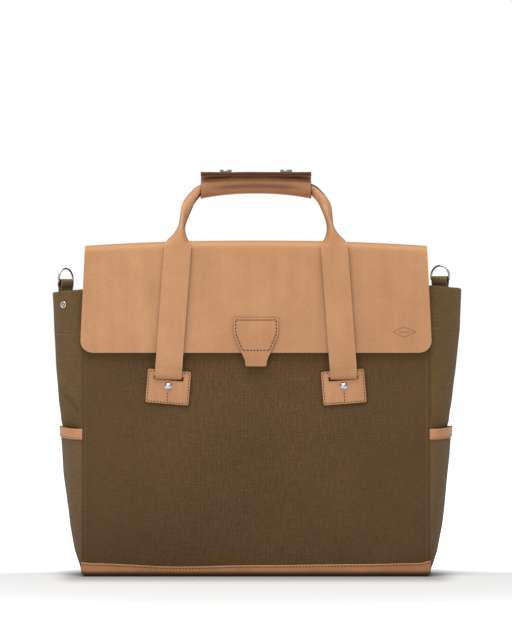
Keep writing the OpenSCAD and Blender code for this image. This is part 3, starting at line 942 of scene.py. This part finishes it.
def makePatch(name, side, facing, nodeName):
    deselectAll()
    bpy.ops.mesh.primitive_cube_add(size=1)
    patch = nameIt(bpy.context.object, name)
    width, thick, height = patchShape["size"]
    patch.data.transform(Matrix.Translation((0, -thick / 2, 0)) @ Matrix.Diagonal((width, thick, height, 1)))
    bpy.ops.object.mode_set(mode="EDIT")
    bpy.ops.mesh.select_mode(type="EDGE")
    bpy.ops.mesh.select_all(action="DESELECT")
    bpy.ops.object.mode_set(mode="OBJECT")
    for edge in patch.data.edges:
        a, b = [patch.data.vertices[k].co for k in edge.vertices]
        edge.select = abs(a.y - b.y) > thick / 2
    bpy.ops.object.mode_set(mode="EDIT")
    bpy.ops.mesh.bevel(offset=patchShape["corner"], segments=7)
    bpy.ops.object.mode_set(mode="OBJECT")
    # slot across the patch
    slotWidth, slotHeight = patchShape["slot"]
    deselectAll()
    bpy.ops.mesh.primitive_cube_add(size=1)
    cutter = bpy.context.object
    cutter.data.transform(Matrix.Translation((0, -thick / 2, patchShape["slotRise"]))
                          @ Matrix.Diagonal((slotWidth, 3 * thick, slotHeight, 1)))
    useModifier(patch, "BOOLEAN", operation="DIFFERENCE", object=cutter, solver="EXACT")
    bpy.data.objects.remove(cutter)
    patch.data.materials.append(leather)
    patch.data.materials.append(burnishedAndShadedEdge)
    for face in patch.data.polygons:
        face.material_index = 0 if abs(face.normal.y) > 0.9 else 1
    # the rounded edges take the burnished colour with painted shade
    roundEdges(patch, patchShape["edge"], segments=3, angle=40, edgeSlot=1)
    patch.data.transform(patchTurn(side, facing))
    if side * facing < 0:
        turnOutward(patch)
    smoothShade(patch)
    return finishPiece(patch, "bag", "leather", nodeName)


def patchStitches(name, side, facing):
    width, thick, height = patchShape["size"]
    x, z = width / 2 - patchShape["stitchInset"], height / 2 - patchShape["stitchInset"]
    y = -thick - 0.05 * mm
    corners = [(-x, -z), (x, -z), (x, z), (-x, z), (-x, -z)]
    turn = patchTurn(side, facing)
    lines = [[turn @ Vector((xa, y, za)), turn @ Vector((xb, y, zb))]
             for (xa, za), (xb, zb) in zip(corners, corners[1:])]
    lines.append([turn @ Vector((0, y, -5.5 * mm)), turn @ Vector((0, y, -z + 1 * mm))])
    sew(name, lines, (0, facing, 0), brownThread, "bag", "leather")


for facing, faceLabel in facings:
    for side, sideLabel in sides:
        label = faceLabel + sideLabel.capitalize()
        makePatch(label + "Patch", side, facing, "patch_" + faceLabel + "_" + sideLabel)
        patchStitches(label + "PatchStitches", side, facing)
print("patches made")


# ---- handles: a strap that comes out of each slot and curls into a roll

handleShape = {
    "width": 31 * mm,
    "thickness": 2.8 * mm,
    "rollThickness": 2.2 * mm,
    "rollRadius": 5.1 * mm,
    # half the distance apart, height, share of the way in, curl from 0 flat to 1 closed,
    # squeeze and turn in degrees
    "stations": [
        (101.2 * mm, 0.2270, 0.225, 0, 1, 0),
        (101.2 * mm, 0.2272, 0.150, 0, 1, 0),
        (101.1 * mm, 0.2280, 0.088, 0, 1, 0),
        (100.8 * mm, 0.2310, 0.058, 0, 1, 0),
        (100.4 * mm, 0.2370, 0.036, 0, 1, 0),
        (99.4 * mm, 0.2510, 0.0, 0, 1, 0),
        (94.7 * mm, 0.3150, 0.0, 0, 1, 0),
        (90.4 * mm, 0.3720, 0.0, 0.02, 1, 0),
        (89.4 * mm, 0.3830, 0.010, 0.20, 0.97, 0),
        (87.9 * mm, 0.3935, 0.09, 0.52, 0.80, 0),
        (86.3 * mm, 0.4025, 0.26, 0.80, 0.56, 0),
        (84.4 * mm, 0.4125, 0.46, 0.90, 0.60, 18),
        (81.6 * mm, 0.4235, 0.66, 0.92, 0.72, 56),
        (77.8 * mm, 0.4320, 0.78, 0.92, 0.88, 92),
        (71.7 * mm, 0.4395, 0.89, 0.92, 0.97, 112),
        (64.6 * mm, 0.4457, 0.965, 0.92, 1, 116),
        (48.0 * mm, 0.4502, 1.0, 0.92, 1, 80),
        (24.0 * mm, 0.4516, 1.0, 0.92, 1, 20),
        (0.0, 0.4520, 1.0, 0.92, 1, 0),
    ],
}


def spline(points, t):    # an even curve through points, t from 0 to len - 1
    last = len(points) - 1
    k = min(int(t), last - 1)
    f = t - k
    p0, p1, p2, p3 = (points[max(0, min(last, k + d))] for d in (-1, 0, 1, 2))
    return [0.5 * (2 * b + (c - a) * f
                   + (2 * a - 5 * b + 4 * c - d) * f * f + (3 * b - a - 3 * c + d) * f ** 3)
            for a, b, c, d in zip(p0, p1, p2, p3)]


def handleStations(strapY, rollY, facing):
    # the whole handle: up the left strap, along the roll and down the right strap
    left = [(-x, facing * (strapY + (rollY - strapY) * inward), z, curl, squeeze, turn)
            for x, z, inward, curl, squeeze, turn in handleShape["stations"]]
    right = [(-x, y, z, curl, squeeze, -turn) for x, y, z, curl, squeeze, turn in reversed(left[:-1])]
    return left + right


def handleFrames(stations, rows):
    # evenly spaced along the length: centre, run, curl, squeeze and turn
    samples = 900
    dense = [spline(stations, (len(stations) - 1) * k / samples) for k in range(samples + 1)]
    centres = [Vector(d[:3]) for d in dense]
    lengths = [0.0]
    for a, b in zip(centres, centres[1:]):
        lengths.append(lengths[-1] + (b - a).length)
    frames = []
    index = 0
    for k in range(rows + 1):
        target = lengths[-1] * k / rows
        while index < len(lengths) - 2 and lengths[index + 1] < target:
            index += 1
        share = (target - lengths[index]) / (lengths[index + 1] - lengths[index])
        centre = centres[index].lerp(centres[index + 1], share)
        run = (centres[min(index + 2, samples)] - centres[max(index - 1, 0)]).normalized()
        curl, squeeze, turn = (a + (b - a) * share for a, b in zip(dense[index][3:], dense[index + 1][3:]))
        frames.append((centre, run, clamp(curl), squeeze, math.radians(turn)))
    return frames, lengths[-1]


def handleSides(centre, run, turn, facing):
    # the ways across and off the strap, which faces down where it leaves the slot
    away = Vector((0, facing, -smooth((0.240 - centre.z) / (9 * mm))))
    out = (away - run * away.dot(run)).normalized()
    out = Matrix.Rotation(turn * facing, 3, run) @ out
    return run.cross(out).normalized(), out


def makeHandle(name, facing, strapY, rollY, body, *nodes):
    rows, columns = 300, 28
    stations = handleStations(strapY, rollY, facing)
    frames, length = handleFrames(stations, rows)
    width, radius = handleShape["width"], handleShape["rollRadius"]

    def place(u, v):
        centre, run, curl, squeeze, turn = frames[round(v * rows)]
        across, out = handleSides(centre, run, turn, facing)
        s = (u - 0.5) * width
        if curl < 0.02:
            bow, rise = s, 0.0
        else:
            r = radius / curl
            bow = r * math.sin(s / r)
            rise = r * (math.cos(s / r) - 1)
        lift = radius * smooth(curl)    # the outer face stands a radius off the roll's middle
        flat = handleShape["thickness"] / 2 * (1 - smooth(curl))
        deeper = 1 + 0.35 * (1 - squeeze)
        return centre + across * bow * squeeze + out * ((rise + lift) * deeper + flat)

    piece = thickSheet(name, (columns, rows), place, (width, length), strapLeathers,
                       handleShape["rollThickness"], 0.75 * mm)
    finishPiece(piece, None, "leather", *nodes)
    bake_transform(piece)
    return piece, frames


def makeCore(name, frames, body, nodeName):
    # the cord inside the closed part of a roll
    inside = [f for f in frames if f[2] > 0.9]
    rows = len(inside) - 1
    radius = handleShape["rollRadius"] - handleShape["rollThickness"] - 0.2 * mm

    def place(u, v):
        centre, run, curl, squeeze, turn = inside[round(v * rows)]
        across, out = handleSides(centre, run, 0, -1)
        a = 2 * math.pi * u
        swell = radius * (1 + 0.05 * math.sin(3 * a + 40 * v))
        return centre + across * math.sin(a) * swell * squeeze + out * math.cos(a) * swell

    piece = gridSheet(name, (16, rows), place, (20 * mm, 300 * mm), [cottonCord], closed=True)
    makeActive(piece)
    bpy.ops.object.mode_set(mode="EDIT")
    bpy.ops.mesh.select_all(action="DESELECT")
    bpy.ops.mesh.select_non_manifold()
    bpy.ops.mesh.fill_holes(sides=0)
    turnOutward(piece)
    smoothShade(piece, 60)
    return finishPiece(piece, body, "cord", nodeName)


frontStrapY = 48.3 * mm
backStrapY = 45.7 * mm
rollMiddle = -(rollLow[1] + rollHigh[1]) / 2
backMiddle = (backRollLow[1] + backRollHigh[1]) / 2
frontHandle, frontFrames = makeHandle("frontHandle", -1, frontStrapY, rollMiddle, "front_handle",
                                      "front_strap_left", "front_strap_right", "front_roll")
backHandle, backFrames = makeHandle("backHandle", 1, backStrapY, backMiddle, "back_handle",
                                    "back_strap_left", "back_strap_right", "back_roll")
makeCore("frontCord", frontFrames, "front_handle", "front_cord_core")
makeCore("backCord", backFrames, "back_handle", "back_cord_core")
print("handles made")


# ---- grip wrap and its snapped cover

wrapShape = {
    "half": 64 * mm,
    "radius": 10.3 * mm,
    "endSwell": 1.3 * mm,
    "crease": 1.7 * mm,
    "thickness": 2.3 * mm,
    "arch": 4.7 * mm,
    "flange": coverLow[2] - 0.2 * mm,
    "flangeFront": coverLow[1] + 1.2 * mm,
}


def archAt(x):    # height of the roll's middle along the grip
    return 0.4518 - wrapShape["arch"] * (x / wrapShape["half"]) ** 2


def wrapCrease(degrees, x):    # how deep hands have pressed the grip along its front
    middle = 1 - smooth((abs(x) - 0.6 * wrapShape["half"]) / (0.4 * wrapShape["half"]))
    return wrapShape["crease"] * middle * hill(degrees, 196, 20)


def wrapSection(s, x):
    # s from 0, the edge tucked under the top, round the roll, to 1, the flange's front edge
    swell = wrapShape["endSwell"] * (abs(x) / wrapShape["half"]) ** 3
    turned = 70 + s / 0.68 * 268
    r = wrapShape["radius"] + swell - wrapCrease(turned, x)
    cy, cz = -rollMiddle, archAt(x) - 0.6 * mm
    top = wrapShape["flange"]
    if s < 0.68:
        a = math.radians(turned)    # from just behind the top, over the front and under
        return cy + r * math.cos(a) * 0.97, cz + r * math.sin(a)
    t = (s - 0.68) / 0.32
    end = math.radians(338)
    startY, startZ = cy + r * math.cos(end) * 0.97, cz + r * math.sin(end)
    bendY = -0.6 * mm
    if t < 0.3:
        f = smooth(t / 0.3)
        return startY + (bendY - startY) * f * 0.4, startZ + (top - 3 * mm - startZ) * (t / 0.3)
    if t < 0.42:
        f = (t - 0.3) / 0.12 * math.pi / 2
        y0 = startY + (bendY - startY) * 0.4
        return y0 - 3 * mm * (1 - math.cos(f)), top - 3 * mm + 3 * mm * math.sin(f)
    f = (t - 0.42) / 0.58
    y0 = startY + (bendY - startY) * 0.4 - 3 * mm
    return y0 + (wrapShape["flangeFront"] - y0) * f, top


def makeWrap():
    def place(u, v):
        x = -spread(u, 0.3) * wrapShape["half"]
        return Vector((x, *wrapSection(v, x)))

    piece = thickSheet("gripWrap", (60, 110), place, (128 * mm, 95 * mm),
                       [gripLeather, burnishedAndShadedEdge, fleshSide], wrapShape["thickness"], 0.65 * mm)
    return finishPiece(piece, "front_handle", "leather", "grip_wrap")


def makeFiller():
    half = wrapShape["half"] - 2 * mm

    def place(u, v):
        x = (2 * v - 1) * half
        a = -2 * math.pi * u
        r = wrapShape["radius"] - wrapShape["thickness"] - 0.3 * mm - wrapCrease(math.degrees(a) % 360, x)
        return Vector((x, -rollMiddle + r * 0.97 * math.cos(a), archAt(x) - 0.6 * mm + r * math.sin(a)))

    piece = gridSheet("gripFiller", (32, 30), place, (50 * mm, 2 * half), [cottonCord], closed=True)
    return finishPiece(giveThickness(piece, 1.2 * mm), "front_handle", "cord", "grip_filler")


coverShape = {"thickness": 2.3 * mm, "corner": 3 * mm, "capX": 35 * mm, "capY": -15 * mm}


def makeCover():
    half = coverHigh[0]
    front, back = coverLow[1], coverHigh[1]

    def place(u, v):
        t = edgeDense(v, 0.6)
        y = back + (front - back) * t
        edge = y - front
        x = spread(u, 0.4) * (half - cornerCut(edge, coverShape["corner"]))
        droop = 0.5 * mm * smooth((edge and (6 * mm - edge) / (6 * mm)) or 1.0)
        press = 0.3 * mm * sum(hill(x, k * coverShape["capX"], 9 * mm) for k in (-1, 1))
        uneven = 0.2 * mm * ripple(x, y, 6.6, 0.03)
        return Vector((x, y, coverHigh[2] - 0.1 * mm - droop * 0.6 - press + uneven))

    piece = gridSheet("gripCover", (70, 24), place, (128 * mm, 25 * mm), strapLeathers)
    makeActive(piece)
    bpy.ops.object.mode_set(mode="EDIT")
    bpy.ops.mesh.select_all(action="SELECT")
    bpy.ops.mesh.flip_normals()
    bpy.ops.object.mode_set(mode="OBJECT")
    giveThickness(piece, coverShape["thickness"], 0.65 * mm)
    return finishPiece(piece, "grip_cover", "leather", "grip_flap")


def makeCaps():
    caps = []
    low, height = capLow[2], capHigh[2] - capLow[2]
    for sign in (-1, 1):
        deselectAll()
        bpy.ops.mesh.primitive_cylinder_add(
            vertices=48, radius=7 * mm, depth=height,
            location=(sign * coverShape["capX"], coverShape["capY"], low + height / 2))
        cap = bpy.context.object
        bpy.ops.object.transform_apply(location=True, rotation=True, scale=True)
        bpy.ops.object.mode_set(mode="EDIT")
        bpy.ops.mesh.select_mode(type="FACE")
        bpy.ops.mesh.select_all(action="DESELECT")
        bpy.ops.object.mode_set(mode="OBJECT")
        for face in cap.data.polygons:
            face.select = face.normal.z > 0.9
        bpy.ops.object.mode_set(mode="EDIT")
        bpy.ops.mesh.inset(thickness=1.1 * mm, depth=0)
        bpy.ops.mesh.inset(thickness=0.5 * mm, depth=-0.3 * mm)
        bpy.ops.mesh.inset(thickness=0.6 * mm, depth=0.3 * mm)
        bpy.ops.object.mode_set(mode="OBJECT")
        roundEdges(cap, 0.6 * mm, segments=4, angle=35)
        caps.append(cap)
    piece = joinPieces(caps, "snapCaps")
    piece.data.materials.append(brightSteel)
    smoothShade(piece, 30)
    return finishPiece(piece, "grip_cover", "bright_steel", "snap_caps")


makeWrap()
makeFiller()
makeCover()
makeCaps()
print("grip made")


# ---- loops that hold the D-rings

loopShape = {"width": 20 * mm, "thickness": 1.2 * mm, "radius": 2.4 * mm, "drop": 33 * mm}


def makeLoop(name, ringNode, nodeName):
    joint = next(j for j in frame["joints"] if j["name"] == ringNode + "_swing")
    bar = Vector(joint["pos_m"])
    run = Vector(joint["axis"]).normalized()
    if run.x < 0:
        run = -run
    out = run.cross(Vector((0, 0, 1))).normalized()
    if out.y < 0:
        out = -out
    radius, drop = loopShape["radius"], loopShape["drop"]
    total = 2 * drop + math.pi * radius

    def place(u, v):
        s = v * total
        wide = (u - 0.5) * loopShape["width"]
        if s < drop:
            y, z = radius, -drop + s
        elif s < drop + math.pi * radius:
            a = (s - drop) / radius
            y, z = radius * math.cos(a), radius * math.sin(a)
        else:
            y, z = -radius, -(s - drop - math.pi * radius)
        pinch = smooth((-z - 3 * mm) / (5 * mm))
        y *= 1 - 0.5 * pinch
        return bar + run * wide + out * y + Vector((0, 0, z))

    # the loops take the paler canvas with painted light
    piece = thickSheet(name, (16, 60), place, (loopShape["width"], total), [paintedLightLoopCanvas],
                       loopShape["thickness"], 0.3 * mm)
    return finishPiece(piece, "bag", "canvas", nodeName)


makeLoop("leftRingLoop", "left_ring", "left_ring_loop")
makeLoop("rightRingLoop", "right_ring", "right_ring_loop")
print("ring loops made")


# ---- seams of the canvas

seamStitch = {"length": 2.4 * mm, "width": 0.7 * mm, "height": 0.35 * mm}


def panelSeams(name, facing):
    x = halfWidth - bagShape["seam"]
    lines = []
    for side in (-1, 1):
        lines.append([Vector((side * x, facing * (panelFace(x, z) + 0.12 * mm), z))
                      for z in [trimTop(side * x) + k * (panelTop - 22 * mm) / 90 for k in range(91)]
                      if z < panelTop - 4 * mm])
    sew(name, lines, (0, facing, 0), khakiThread, "bag", "canvas", shape=seamStitch, pitch=3.4 * mm)


def gussetSeam(name, side, z):
    line = [gussetPlace(side, a, z) for a in range(-86, 87, 4)]
    sewRound(name, side, line, halfDepth(z), khakiThread, "bag", "canvas", shape=seamStitch, pitch=3.4 * mm)


panelSeams("frontSeamStitches", -1)
panelSeams("backSeamStitches", 1)
gussetSeam("leftHemStitches", -1, 0.2775)
gussetSeam("rightHemStitches", 1, 0.285)
bpy.data.objects.remove(stitchModel)
print("canvas seams sewn")


# ---- press stud at the top of the left gusset

studShape = {"angle": -54, "z": 0.312, "radius": 3.3 * mm, "rim": 0.95 * mm}


def makeStud():
    a, z = studShape["angle"], studShape["z"]
    centre = gussetPlace(-1, a, z)
    along, up = gussetPlace(-1, a + 2, z) - centre, gussetPlace(-1, a, z + 2 * mm) - centre
    out = up.cross(along).normalized()
    if out.x > 0:
        out = -out
    deselectAll()
    bpy.ops.mesh.primitive_torus_add(major_radius=studShape["radius"], minor_radius=studShape["rim"],
                                     major_segments=40, minor_segments=12)
    ring = bpy.context.object
    ring.data.materials.append(brightSteel)
    bpy.ops.mesh.primitive_uv_sphere_add(segments=32, ring_count=16, radius=studShape["radius"])
    disc = bpy.context.object
    disc.data.transform(Matrix.Diagonal((0.95, 0.95, 0.18, 1)))
    disc.data.materials.append(darkSteel)
    bpy.ops.mesh.primitive_uv_sphere_add(segments=24, ring_count=12, radius=0.45 * studShape["radius"])
    nub = bpy.context.object
    nub.data.transform(Matrix.Diagonal((1, 1, 0.7, 1)))
    nub.data.materials.append(brightSteel)
    stud = joinPieces([ring, disc, nub], "gussetStud")
    turn = out.to_track_quat("Z", "Y").to_matrix().to_4x4()
    stud.data.transform(Matrix.Translation(centre + out * 0.4 * mm) @ turn)
    smoothShade(stud, 50)
    return finishPiece(stud, "bag", "bright_steel", "gusset_snap")


makeStud()


# ---- finishes of the parts kept from the frame

keptFinishes = {
    "bottom_panel": canvas, "base_board": fibreBoard,
    "strap_tails_front": leather, "strap_tails_back": leather, "reinforcement_pads": trimLeather,
    "rivets_front": brightSteel, "rivets_back": brightSteel, "closure_plate": brightSteel,
    "closure_magnet": brightSteel, "wrap_studs": brightSteel, "left_ring": ringSteel, "right_ring": ringSteel,
}
for nodeName, material in keptFinishes.items():
    kept = frame["nodes"][nodeName]
    kept.data.materials.clear()
    kept.data.materials.append(material)
print("finishes set")


# ---- floor, light and camera

studio = {
    "cameraDistance": 4.0,
    "cameraHeight": 0.307,
    "cameraX": 0.0,
    "viewHeight": 0.711,
    "topPower": 44,
    "frontPower": 13,
    "roomLight": 0.44,
    "floorGlow": 0.9,
}


def makeFloor():
    deselectAll()
    bpy.ops.mesh.primitive_plane_add(size=24, location=(0, 0, 0))
    floor = nameIt(bpy.context.object, "studioFloor")
    material, tree, shader, spot, cloth = startMaterial("paleFloor", 0.9, 0.1)
    tone = ramp(tree, noiseOf(tree, spot, 3.0), (0.3, 0.73), (0.7, 0.75))
    # painted contact shadow: the floor is darker close to the base
    gap = spot
    for operation, amount in (("ABSOLUTE", (0, 0, 0)), ("SUBTRACT", (halfWidth, halfBase, 0)),
                              ("MAXIMUM", (0, 0, 0)), ("MULTIPLY", (3.2, 1, 1))):
        gap = node(tree, "ShaderNodeVectorMath", "Vector", {0: gap, 1: amount}, operation=operation)
    gap = node(tree, "ShaderNodeVectorMath", "Value", {0: gap}, operation="LENGTH")
    paintedShadow = mapRange(tree, gap, 0.0, 0.12)
    feed(shader, "Base Color", blendColours(tree, paintedShadow, (0.34, 0.34, 0.34), tone))
    # glows away from the bag, so that the far floor stays as white as the room
    away = node(tree, "ShaderNodeVectorMath", "Value", {0: spot}, operation="LENGTH")
    around = mapRange(tree, away, 0.3, 1.2)
    behind = mapRange(tree, axisOf(tree, spot, "Y"), -0.03, 0.10)
    glow = maths(tree, "MAXIMUM", around, behind)
    feed(shader, "Emission Strength", maths(tree, "MULTIPLY", glow, studio["floorGlow"]))
    shader.inputs["Emission Color"].default_value = (1, 1, 1, 1)
    floor.data.materials.append(material)


def addLight(name, place, target, size, power):
    deselectAll()
    bpy.ops.object.light_add(type="AREA", location=place)
    light = bpy.context.object
    light.name = name
    light.data.shape = "RECTANGLE"
    light.data.size, light.data.size_y = size
    light.data.energy = power
    light.rotation_euler = (Vector(target) - Vector(place)).to_track_quat("-Z", "Y").to_euler()


def setWorld():
    # white behind the bag, dimmer as a light
    world = bpy.data.worlds.new("studio")
    bpy.context.scene.world = world
    world.use_nodes = True
    tree = world.node_tree
    room = tree.nodes["Background"]
    room.inputs["Color"].default_value = (1, 1, 1, 1)
    room.inputs["Strength"].default_value = studio["roomLight"]
    backdrop = tree.nodes.new("ShaderNodeBackground")
    backdrop.inputs["Color"].default_value = (1, 1, 1, 1)
    rays = tree.nodes.new("ShaderNodeLightPath")
    mix = tree.nodes.new("ShaderNodeMixShader")
    tree.links.new(rays.outputs["Is Camera Ray"], mix.inputs[0])
    tree.links.new(room.outputs[0], mix.inputs[1])
    tree.links.new(backdrop.outputs[0], mix.inputs[2])
    tree.links.new(mix.outputs[0], tree.nodes["World Output"].inputs["Surface"])
    bpy.context.scene.view_settings.view_transform = "Standard"


def addCamera():
    deselectAll()
    place = (studio["cameraX"], flapLow[1] - studio["cameraDistance"], studio["cameraHeight"])
    bpy.ops.object.camera_add(location=place, rotation=(math.pi / 2, 0, 0))
    camera = bpy.context.object
    camera.data.sensor_width = 36
    camera.data.lens = 36 * studio["cameraDistance"] / studio["viewHeight"]
    bpy.context.scene.camera = camera


makeFloor()
addLight("topLight", (-0.15, -0.75, 2.1), (0, -0.1, 0.2), (1.9, 1.3), studio["topPower"])
addLight("frontLight", (-0.8, -2.6, 1.1), (0, 0, 0.25), (1.8, 1.4), studio["frontPower"])
setWorld()
addCamera()
print("studio ready")
